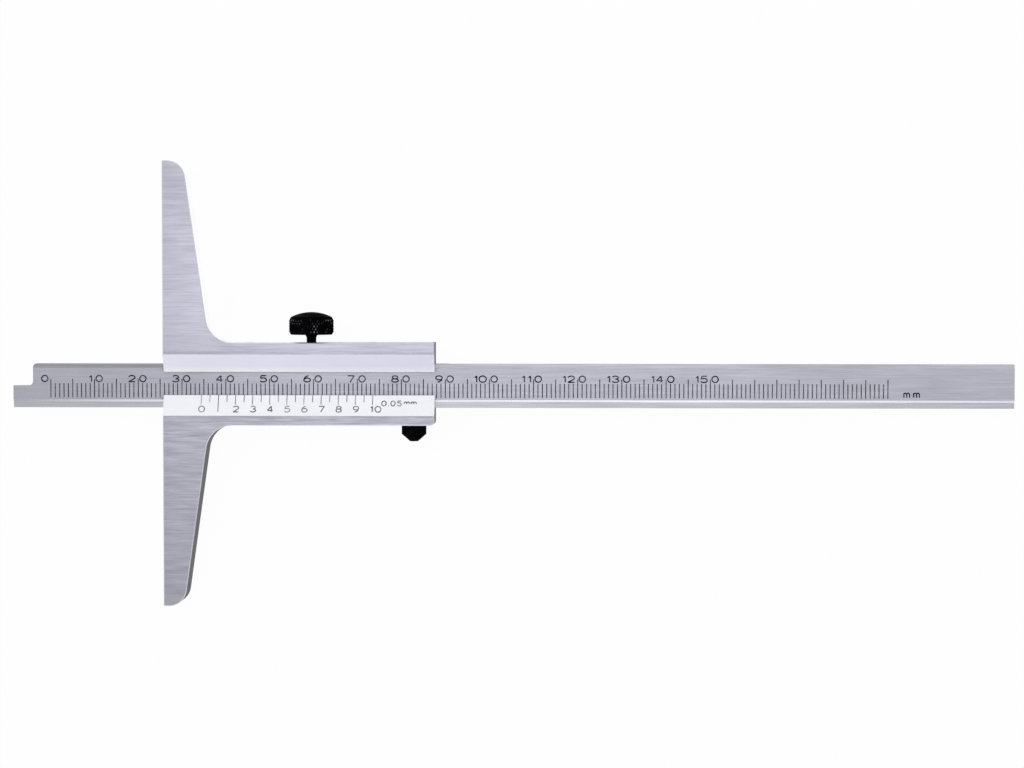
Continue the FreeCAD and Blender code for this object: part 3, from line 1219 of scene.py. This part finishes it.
@dataclass
class Beam:
    """The graduated beam: a line for each millimetre and a number at every tenth.

    Sizes are in millimetres. The number at a line is set round it: its first digits end
    before the line, and its last one starts after it.
    """

    front: float
    zero_x: float = -25.9
    last_line: int = 190
    last_number: int = 150
    line_foot: float = -3.2
    line_top: float = 0.06
    long_line_top: float = 1.06
    line_width: float = 0.22
    stroke_width: float = 0.3
    digits: Lettering = Lettering(height=1.42, gap=0.42, stretch=1.1)
    last_digit: Lettering = Lettering(height=1.42, gap=0.5, stretch=0.96)
    digit_foot: float = 0.4
    before_line: float = 0.7
    after_line: float = 0.34
    zero_gap: float = 0.66
    hundreds_pitch: float = 1.36
    facet_shift: float = 0.21
    least_step: float = 0.1
    unit: Lettering = Lettering(height=1.02, gap=0.9, stretch=1.05)
    unit_left: float = 167.7
    unit_foot: float = -2.95

    def _line_tools(self, graver: Engraver) -> list[bpy.types.Object]:
        """Return the cutters of all lines, short ones and long ones apart.

        Args:
            graver: Makes the cutters.

        Returns:
            One cutter of the long lines and four of the short ones between them.
        """
        fifths = self.last_line // 5
        long_line = graver.line(self.zero_x, self.line_foot, self.long_line_top)
        tools = [graver.row(long_line, 5.0, fifths + 1)]
        for offset in range(1, 5):
            short = graver.line(self.zero_x + offset, self.line_foot, self.line_top)
            tools.append(graver.row(short, 5.0, fifths))
        return tools

    def _number_tools(self, graver: Engraver) -> list[bpy.types.Object]:
        """Return the cutters of the numbers; only the first 0 is all left of its line.

        Args:
            graver: Makes the cutters.

        Returns:
            One cutter for each digit.
        """
        left = self.zero_x - self.zero_gap - self.last_digit.sign_width("0")
        tools = graver.word("0", left, self.digit_foot, self.last_digit)
        for number in range(10, self.last_number + 1, 10):
            line = self.zero_x + number
            hundreds, tens = divmod(number // 10, 10)
            width = self.digits.sign_width(str(tens))
            left = line - self.before_line - width
            tools += graver.word(str(tens), left, self.digit_foot, self.digits)
            if hundreds:
                middle = left + (width if tens == 1 else width / 2.0)
                stem = middle - self.hundreds_pitch - self.digits.sign_width("1")
                tools += graver.word("1", stem, self.digit_foot, self.digits)
            tools += graver.word("0", line + self.after_line, self.digit_foot, self.last_digit)
        return tools

    def _is_facet(self, face: bpy.types.MeshPolygon) -> bool:
        """Return whether a face is the slope between the front and the relieved edge."""
        return 0.7 < face.normal.z < 0.9 and face.normal.y < -0.5

    def _raise_facet(self, beam: bpy.types.Object) -> None:
        """Move the slope above the relieved edge to where the photograph shows it.

        Args:
            beam: The beam's merged copy.
        """
        select_faces(beam, self._is_facet)
        with editing(beam):
            bpy.ops.transform.translate(value=(0.0, self.facet_shift * MM, 0.0))
            bpy.ops.mesh.select_mode(type="VERT")

    def build(self, node: bpy.types.Object, finishes: SteelFinishes) -> None:
        """Dress and engrave a copy of the beam.

        Args:
            node: The beam's node.
            finishes: The steel's finishes.
        """
        beam = merged_copy(node, "beam_engraved")
        dress(beam, finishes.beam)
        self._raise_facet(beam)
        paint_faces(beam, finishes.flank, is_flank)
        paint_faces(beam, finishes.chamfer, lambda face: is_slope(face, 1.0))
        paint_faces(beam, finishes.facet, self._is_facet)
        below = (self.front - self.least_step) * MM
        paint_faces(beam, finishes.relief, lambda face: is_front(face) and face.center.z < below)
        lines = Engraver(self.line_width, finishes.scale_ink)
        signs = Engraver(self.stroke_width, finishes.scale_ink)
        tools = self._line_tools(lines)
        tools += self._number_tools(signs)
        tools += signs.word("mm", self.unit_left, self.unit_foot, self.unit)
        signs.clear()
        tool = join(tools, "beam_engraving_tool")
        tool.location = (0.0, 0.0, self.front * MM)
        engrave(beam, tool)
        smooth(beam, MACHINED_EDGE)
        stand_for(beam, "beam", Body.BEAM)


@dataclass
class SlideBody:
    """Bridge and slide: two chromed bevels, and the vernier on the lower one.

    Sizes are in millimetres, and a bevel's least area is in square millimetres. Heights of
    lines and signs are measured down the lower bevel, from its lip.
    """

    front: float
    lip_y: float = -2.61
    upper_lip_y: float = 2.69
    lip_height: float = 4.83
    bevel_width: float = 4.6
    least_bevel: float = 10.0
    vernier_zero_x: float = 8.6
    vernier_step: float = 1.95
    vernier_lines: int = 21
    line_width: float = 0.2
    line_start: float = 0.3
    long_line: float = 2.28
    short_line: float = 1.66
    stem_overlap: float = 0.1
    stroke_width: float = 0.28
    digit_shift: float = 0.18
    digits: Lettering = Lettering(height=1.4, gap=0.62, stretch=0.9)
    digit_foot: float = -4.07
    reading: Lettering = Lettering(height=1.18, gap=0.48, stretch=0.8)
    reading_left: float = 49.7
    reading_foot: float = -2.55
    unit: Lettering = Lettering(height=0.5, gap=0.45, stretch=1.9)
    unit_left: float = 54.8
    unit_foot: float = -2.1

    def _bevel_matrix(self) -> Matrix:
        """Return the place of the vernier's bevel.

        Returns:
            The matrix that brings the XY plane onto the bevel, with its lip on the X axis.
        """
        rise = self.front - self.lip_height
        slope = math.atan2(rise, self.bevel_width)
        turn = Matrix.Rotation(-slope, 4, "X")
        return Matrix.Translation(Vector((0.0, self.lip_y * MM, self.lip_height * MM))) @ turn

    def _line_tools(self, graver: Engraver) -> list[bpy.types.Object]:
        """Return the cutters of the vernier's lines, with a longer one at each number.

        Args:
            graver: Makes the cutters.

        Returns:
            A cutter of the numbered lines, one of the lines between, and the stem under the
            second numbered line, which is its number, 1.
        """
        zero, step = self.vernier_zero_x, self.vernier_step
        numbered = graver.line(zero, -self.long_line, self.line_start)
        between = graver.line(zero + step, -self.short_line, self.line_start)
        stem_top = self.stem_overlap - self.long_line
        stem = graver.line(zero + 2.0 * step, self.digit_foot, stem_top)
        count = self.vernier_lines // 2
        return [
            graver.row(numbered, 2.0 * step, count + 1),
            graver.row(between, 2.0 * step, count),
            stem,
        ]

    def _number_tools(self, graver: Engraver) -> list[bpy.types.Object]:
        """Return the cutters of the numbers 0 to 10 under their lines, but not of the 1.

        Args:
            graver: Makes the cutters.

        Returns:
            One cutter for each digit.
        """
        tools = []
        for number in range(self.vernier_lines // 2 + 1):
            line = self.vernier_zero_x + 2.0 * self.vernier_step * number
            word = str(number)
            if word == "1":
                continue
            width = self.digits.sign_width(word[0])
            left = line - (width if word == "10" else width / 2.0 - self.digit_shift)
            tools += graver.word(word, left, self.digit_foot, self.digits)
        return tools

    def _paint(self, body: bpy.types.Object, finishes: SteelFinishes) -> None:
        """Give each kind of face its finish.

        Args:
            body: The body's merged copy, in the finish of its lower front.
            finishes: The steel's finishes.
        """
        least = self.least_bevel * MM ** 2
        # The upper front gets the painted-light copy of the steel
        paint_faces(body, finishes.ground_upper, lambda face: is_front(face) and face.center.y > 0.0)
        paint_faces(body, finishes.broken_edge, is_broken_edge)
        paint_faces(body, finishes.flank, is_flank)
        paint_faces(
            body, finishes.vernier_chrome, lambda face: is_slope(face, 1.0) and face.area > least
        )
        paint_faces(
            body, finishes.upper_chrome, lambda face: is_slope(face, -1.0) and face.area > least
        )

    def build(self, node: bpy.types.Object, finishes: SteelFinishes) -> None:
        """Dress and engrave a copy of the body.

        Args:
            node: The body's node.
            finishes: The steel's finishes.
        """
        body = merged_copy(node, "slide_engraved")
        dress(body, finishes.ground)
        self._paint(body, finishes)
        lines = Engraver(self.line_width, finishes.vernier_ink)
        signs = Engraver(self.stroke_width, finishes.vernier_ink)
        tools = self._line_tools(lines) + self._number_tools(signs)
        tools += signs.word("0.05", self.reading_left, self.reading_foot, self.reading)
        tools += signs.word("mm", self.unit_left, self.unit_foot, self.unit)
        signs.clear()
        tool = join(tools, "vernier_engraving_tool")
        tool.matrix_world = self._bevel_matrix()
        engrave(body, tool)
        smooth(body, MACHINED_EDGE)
        stand_for(body, "slide_body", Body.SLIDE)


@dataclass
class TurnedScrew:
    """What the black screws share: they fill the box of the node that they stand for."""

    low: Vector
    high: Vector

    @property
    def axis_x(self) -> float:
        """Return the axis's place along the gauge, in millimetres."""
        return (self.low.x + self.high.x) / 2.0 / MM

    @property
    def axis_z(self) -> float:
        """Return the axis's height, in millimetres."""
        return (self.low.z + self.high.z) / 2.0 / MM

    @property
    def head_radius(self) -> float:
        """Return the radius of the head, in millimetres."""
        return (self.high.x - self.low.x) / MM / 2.0


@dataclass
class ClampScrew(TurnedScrew):
    """The clamp screw: crowned head with a diamond knurl, flared neck and threaded end."""

    head_height: float = 5.15
    crown_height: float = 1.12
    top_bevel: float = 0.86
    foot_bevel: float = 0.7
    bevel_width: float = 0.45
    neck_diameter: float = 2.2
    flare_width: float = 0.55
    flare_height: float = 0.9
    thread_diameter: float = 2.5
    thread_end: float = 8.9
    tip_diameter: float = 1.7
    diamonds: int = 42
    knurl_rows: int = 4
    knurl_depth: float = 0.22

    def _profile(self) -> list[Point2]:
        """Return the screw's profile.

        Returns:
            Corners as (radius, y), from the screw's tip to the crown's top.
        """
        tip = self.low.y / MM
        top = self.high.y / MM
        head = self.head_radius
        rim = head - self.bevel_width
        foot = top - self.head_height
        neck = self.neck_diameter / 2.0
        thread = self.thread_diameter / 2.0
        end = self.tip_diameter / 2.0
        band_foot = foot + self.foot_bevel
        band_top = top - self.crown_height - self.top_bevel
        rows = [
            (head, band_foot + (band_top - band_foot) * i / self.knurl_rows)
            for i in range(self.knurl_rows + 1)
        ]
        sphere = (rim ** 2 + self.crown_height ** 2) / (2.0 * self.crown_height)
        edge = math.degrees(math.acos(rim / sphere))
        crown = arc((0.0, top - sphere), (sphere, sphere), edge, 90.0, 3.5)
        flare = arc(
            (neck + self.flare_width, foot - self.flare_height),
            (self.flare_width, self.flare_height), 180.0, 90.0, 18.0,
        )
        return [
            (0.0, tip), (end, tip), (thread, tip + thread - end), (thread, self.thread_end),
            (neck, self.thread_end + thread - neck), *flare, (rim, foot), *rows, *crown,
        ]

    def _knurl(self, screw: bpy.types.Object) -> None:
        """Sink every second vertex of the band and join these, which raises the diamonds.

        Args:
            screw: The turned screw.
        """
        axis_x = self.axis_x * MM
        axis_z = self.axis_z * MM
        head = self.head_radius * MM
        steps = 2 * self.diamonds
        top = self.high.y - (self.crown_height + self.top_bevel) * MM
        foot = self.high.y - (self.head_height - self.foot_bevel) * MM
        row_height = (top - foot) / self.knurl_rows
        near = 0.01 * MM
        crests = [0.0] * len(screw.data.vertices)
        with editing(screw):
            bpy.ops.mesh.select_all(action="DESELECT")
        for vertex in screw.data.vertices:
            across = vertex.co.x - axis_x
            up = vertex.co.z - axis_z
            if abs(math.hypot(across, up) - head) > near:
                continue
            row = round((vertex.co.y - foot) / row_height)
            column = round(math.atan2(up, across) / (2.0 * math.pi) * steps)
            vertex.select = (row + column) % 2 == 1
            crests[vertex.index] = 0.0 if vertex.select else 1.0
        crest = screw.data.attributes.new(CREST, "FLOAT", "POINT")
        crest.data.foreach_set("value", crests)
        share = 1.0 - self.knurl_depth * MM / head
        with editing(screw):
            bpy.ops.mesh.vert_connect()
            bpy.ops.transform.resize(
                value=(share, 1.0, share), center_override=(axis_x, 0.0, axis_z)
            )

    def build(self, black: bpy.types.Material) -> None:
        """Turn and knurl the screw.

        Args:
            black: The blackened steel.
        """
        screw = turned(
            self._profile(), self.axis_x, self.axis_z, 2 * self.diamonds, "clamp_screw_knurled"
        )
        self._knurl(screw)
        dress(screw, black)
        stand_for(screw, "clamp_screw", Body.CLAMP)


@dataclass
class StopScrew(TurnedScrew):
    """The stop screw: a skirt, a cone and a small flat, turned with broken edges."""

    skirt: float = 2.05
    slide_bottom: float = -9.4
    head_tip: float = 2.1
    thread_diameter: float = 2.5
    thread_end: float = -5.65
    dog_diameter: float = 1.1
    edge_break: float = 0.12
    steps: int = 64

    def build(self, black: bpy.types.Material) -> None:
        """Turn the screw.

        Args:
            black: The blackened steel.
        """
        head = self.head_radius
        tip_radius = self.head_tip / 2.0
        thread = self.thread_diameter / 2.0
        dog = self.dog_diameter / 2.0
        tip = self.low.y / MM
        end = self.high.y / MM
        edge = self.edge_break
        profile = [
            (0.0, tip), (tip_radius - edge, tip), (tip_radius, tip + edge),
            (head, self.slide_bottom - self.skirt), (head, self.slide_bottom - edge),
            (head - edge, self.slide_bottom), (thread, self.slide_bottom),
            (thread, self.thread_end), (dog, self.thread_end), (dog, end), (0.0, end),
        ]
        screw = turned(profile, self.axis_x, self.axis_z, self.steps, "stop_screw_turned")
        dress(screw, black)
        stand_for(screw, "stop_screw", Body.SLIDE)


@dataclass
class Studio:
    """A pale floor, a key light, a graded world and the camera.

    The floor's height, middle and size and the camera's clip are in metres, and other lengths
    are in millimetres. A span is where a painted band of the floor's gloss starts and ends in
    X, and how wide its edge is.
    The sky's stops are an angle in degrees from straight above, towards +Y, and a level. The
    dimmed ends are angles towards +X, where the dimming is full and where it starts, and what
    is left of the light.
    """

    floor_height: float
    floor_middle: float = 0.08
    floor_size: float = 3.0
    floor_grey: float = 0.9
    camera_place: tuple[float, float, float] = (97.335, 23.563, 600.0)
    camera_yaw: float = 1.7431
    camera_pitch: float = -2.2646
    camera_roll: float = 0.0135
    lens: float = 92.462
    sensor: float = 36.0
    clip: tuple[float, float] = (0.01, 20.0)
    key_direction: tuple[float, float, float] = (-0.6, 0.35, 0.72)
    key_strength: float = 0.6
    key_angle: float = 10.0
    floor_glow_seen: float = 0.97
    # The floor's gloss carries painted light beside the upper wing, painted shade beside the lower one
    # and a painted shadow strip past the tail end
    card_edge: float = 12.0
    card_bright: float = 1.25
    card_dark: float = 0.19
    card_span: tuple[float, float, float] = (1.0, 28.0, 2.0)
    strip_span: tuple[float, float, float] = (61.3, 64.0, 0.8)
    floor_in_gloss: float = 0.8
    sky: tuple[tuple[float, float], ...] = (
        (-90.0, 1.5), (-78.0, 2.1), (-66.0, 1.7), (-52.0, 1.45), (-34.0, 0.75), (-14.0, 0.34),
        (-6.0, 0.7), (-1.0, 1.05), (5.0, 0.94), (22.0, 0.95), (36.0, 1.65), (48.0, 1.92), (62.0, 1.65),
        (90.0, 0.9),
    )
    dim_ends: tuple[tuple[float, float, float], ...] = ((-18.0, -4.0, 0.5), (18.0, 3.0, 0.52))

    def build_floor(self) -> None:
        """Lay the floor, which shows white to the camera and keeps soft shadows.

        In gloss it is duller, with painted light beside one wing, painted shade beside the other,
        and a painted shadow strip past the slide's tail end.
        """
        deselect_all()
        bpy.ops.mesh.primitive_plane_add(
            size=self.floor_size, location=(self.floor_middle, 0.0, self.floor_height)
        )
        floor = name_active("floor")
        place_in_mesh(floor)
        material, tree, shader = new_material("pale_floor")
        grey = self.floor_grey
        shader.inputs["Base Color"].default_value = (grey, grey, grey, 1.0)
        shader.inputs["Roughness"].default_value = 1.0
        shader.inputs["Specular IOR Level"].default_value = 0.0
        glow = tree.add("Emission")
        glow.inputs["Color"].default_value = (1.0, 1.0, 1.0, 1.0)
        path = tree.add("LightPath")
        gloss = path.outputs["Is Glossy Ray"]
        # Painted light and shade in the floor's gloss: bright towards +Y, dark towards -Y, and dark past
        # the slide's tail end
        edge = self.card_edge * MM
        painted_sides = tree.ramp(tree.place("Y"), -edge, edge, self.card_dark, self.card_bright)
        in_gloss = tree.blend(tree.band("X", *self.card_span), self.floor_in_gloss, painted_sides)
        in_gloss = tree.blend(tree.band("X", *self.strip_span), in_gloss, self.card_dark)
        tree.link(tree.blend(gloss, 1.0, in_gloss), glow.inputs["Strength"])
        seen = tree.product(path.outputs["Is Camera Ray"], self.floor_glow_seen)
        share = tree.math("ADD", seen, gloss)
        mix = tree.add("MixShader")
        tree.link(share, mix.inputs[0])
        tree.link(shader.outputs[0], mix.inputs[1])
        tree.link(glow.outputs[0], mix.inputs[2])
        tree.link(mix.outputs[0], material.node_tree.nodes["Material Output"].inputs["Surface"])
        dress(floor, material)

    def build_world(self) -> None:
        """Light the gauge by the angle from straight above, towards +Y or -Y."""
        world = bpy.data.worlds.new("studio_world")
        world.use_nodes = True
        tree = Tree(world.node_tree)
        back = world.node_tree.nodes["Background"]
        way = tree.add("SeparateXYZ")
        tree.link(tree.add("TexCoord").outputs["Generated"], way.inputs[0])
        angle = tree.math("ARCTAN2", way.outputs["Y"], way.outputs["Z"])
        ramp = tree.add("ValToRGB")
        tree.link(tree.ramp(angle, -math.pi / 2.0, math.pi / 2.0, 0.0, 1.0), ramp.inputs[0])
        ramp.color_ramp.interpolation = "EASE"
        stops = ramp.color_ramp.elements
        while len(stops) < len(self.sky):
            stops.new(0.5)
        brightest = max(level for _, level in self.sky)
        for stop, (degrees, level) in zip(stops, self.sky):
            stop.position = (degrees + 90.0) / 180.0
            grey = level / brightest
            stop.color = (grey, grey, grey, 1.0)
        along = tree.math("ARCTAN2", way.outputs["X"], way.outputs["Z"])
        level = brightest
        for far, near, share in self.dim_ends:
            dim = tree.ramp(along, math.radians(far), math.radians(near), share, 1.0)
            level = tree.product(dim, level)
        tree.link(ramp.outputs["Color"], back.inputs["Color"])
        tree.link(level, back.inputs["Strength"])
        seen = tree.add("LightPath").outputs["Is Camera Ray"]
        white = tree.add("Background")
        mix = tree.add("MixShader")
        tree.link(seen, mix.inputs[0])
        tree.link(back.outputs[0], mix.inputs[1])
        tree.link(white.outputs[0], mix.inputs[2])
        white.inputs["Color"].default_value = (1.0, 1.0, 1.0, 1.0)
        tree.link(mix.outputs[0], world.node_tree.nodes["World Output"].inputs["Surface"])
        bpy.context.scene.world = world

    def build_key(self) -> None:
        """Add the key light, from above on the side of the beam's tip and the clamp screw."""
        lamp = bpy.data.lights.new("key_light", "SUN")
        lamp.energy = self.key_strength
        lamp.angle = math.radians(self.key_angle)
        key = bpy.data.objects.new("key_light", lamp)
        bpy.context.scene.collection.objects.link(key)
        key.rotation_euler = Vector(self.key_direction).to_track_quat("Z", "Y").to_euler()

    def build_camera(self) -> None:
        """Set the camera where the photograph was taken from."""
        data = bpy.data.cameras.new("camera")
        data.lens = self.lens
        data.sensor_width = self.sensor
        data.sensor_fit = "HORIZONTAL"
        data.clip_start, data.clip_end = self.clip
        camera = bpy.data.objects.new("camera", data)
        bpy.context.scene.collection.objects.link(camera)
        place = Matrix.Translation(Vector(self.camera_place) * MM)
        yaw = Matrix.Rotation(math.radians(self.camera_yaw), 4, "Y")
        pitch = Matrix.Rotation(math.radians(self.camera_pitch), 4, "X")
        roll = Matrix.Rotation(math.radians(self.camera_roll), 4, "Z")
        camera.matrix_world = place @ yaw @ pitch @ roll
        bpy.context.scene.camera = camera

    def build(self) -> None:
        """Build floor, world, key light and camera."""
        self.build_floor()
        self.build_world()
        self.build_key()
        self.build_camera()
        bpy.context.scene.view_settings.view_transform = "Standard"


def main() -> None:
    """Build the gauge's pieces in order, and then the studio."""
    logging.basicConfig(level=logging.INFO, format="%(name)s: %(message)s")
    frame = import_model()
    nodes = frame["nodes"]
    deselect_all()
    build_effects()

    finishes = SteelFinishes(
        # The fronts are one ground steel in two copies: the upper one is painted light, lighter and
        # bluer, with a painted shade fade at the tip end
        ground=BrushedSteel(
            "ground_steel_lower", colour=(0.61, 0.615, 0.71), along=150.0, across=3000.0,
            coarse_across=900.0, contrast=0.2, clouds=0.08, roughness=0.22, seam=7.2,
        ).build(),
        ground_upper=BrushedSteel(
            "ground_steel_upper_painted_light", colour=(0.72, 0.72, 0.85), along=120.0, across=2600.0,
            coarse_across=800.0, contrast=0.08, clouds=0.07, roughness=0.22, seam=7.2,
            fade_start=0.0, fade_end=8.0, fade_level=0.93,
        ).build(),
        # Edge breaks in a lighter copy of the steel: a painted highlight along the edges
        broken_edge=BrushedSteel(
            "broken_edge", colour=(0.82, 0.82, 0.88), along=300.0, contrast=0.06, roughness=0.4
        ).build(),
        flank=BrushedSteel(
            "milled_flank", colour=(0.66, 0.66, 0.72), contrast=0.05, along=300.0, roughness=0.2
        ).build(),
        vernier_chrome=SatinChrome(
            "vernier_chrome", lip=SlideBody.lip_y, colour=(0.82, 0.82, 0.87)
        ).build(),
        # Upper bevel: painted highlight along its lip, and painted light towards the bridge's face
        upper_chrome=SatinChrome(
            "upper_chrome", lip=SlideBody.upper_lip_y, colour=(0.82, 0.82, 0.96), lip_level=1.16,
            fade_level=1.12,
        ).build(),
        # Beam: painted contact shade where the slide's lips and other pieces lie close
        beam=BrushedSteel(
            "ground_steel_beam", colour=(0.63, 0.63, 0.725), along=90.0, contrast=0.08, clouds=0.06,
            roughness=0.24, contact=1.5,
        ).build(),
        # Top chamfer: a darker copy of the steel as painted shade, with a painted fade darker towards
        # the tip
        chamfer=BrushedSteel(
            "ground_chamfer_painted_shade", colour=(0.375, 0.375, 0.41), contrast=0.12, clouds=0.12, along=60.0,
            fade_start=5.0, fade_end=60.0, fade_level=0.71,
        ).build(),
        # Facet: a lighter copy of the steel as a painted highlight, fading to painted shade towards the
        # tip
        facet=BrushedSteel(
            "facet_painted_highlight", colour=(0.78, 0.78, 0.865), contrast=0.05, along=60.0,
            fade_start=-34.0, fade_end=-3.0, fade_level=0.6,
        ).build(),
        # Relieved edge: painted contact shade beside the facet above it
        relief=BrushedSteel(
            "relieved_edge", colour=(0.715, 0.715, 0.785), along=60.0, contrast=0.08, roughness=0.24,
            contact=0.4,
        ).build(),
        scale_ink=Ink("scale_ink").build(),
        vernier_ink=Ink("vernier_ink", colour=(0.22, 0.22, 0.25), worn=(0.5, 0.5, 0.53)).build(),
    )
    black = BlackOxide("black_oxide").build()
    bronze = GibBronze("gib_bronze").build()
    screw_steel = BrushedSteel("plain_screw_steel", colour=(0.4, 0.4, 0.42)).build()

    beam_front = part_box("beam")[1].z / MM
    body_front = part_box("slide_body")[1].z / MM
    Beam(front=beam_front).build(nodes["beam"], finishes)
    SlideBody(front=body_front).build(nodes["slide_body"], finishes)
    ClampScrew(*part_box("clamp_screw")).build(black)
    StopScrew(*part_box("stop_screw")).build(black)
    dress(nodes["gib_strip"], bronze)
    dress(nodes["gib_screw_left"], screw_steel)
    dress(nodes["gib_screw_right"], screw_steel)
    LOG.info("the gib strip and its two set screws are dressed")

    lowest = min(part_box(name)[0].z for name in nodes)
    Studio(floor_height=lowest).build()


if __name__ == "__main__":
    main()
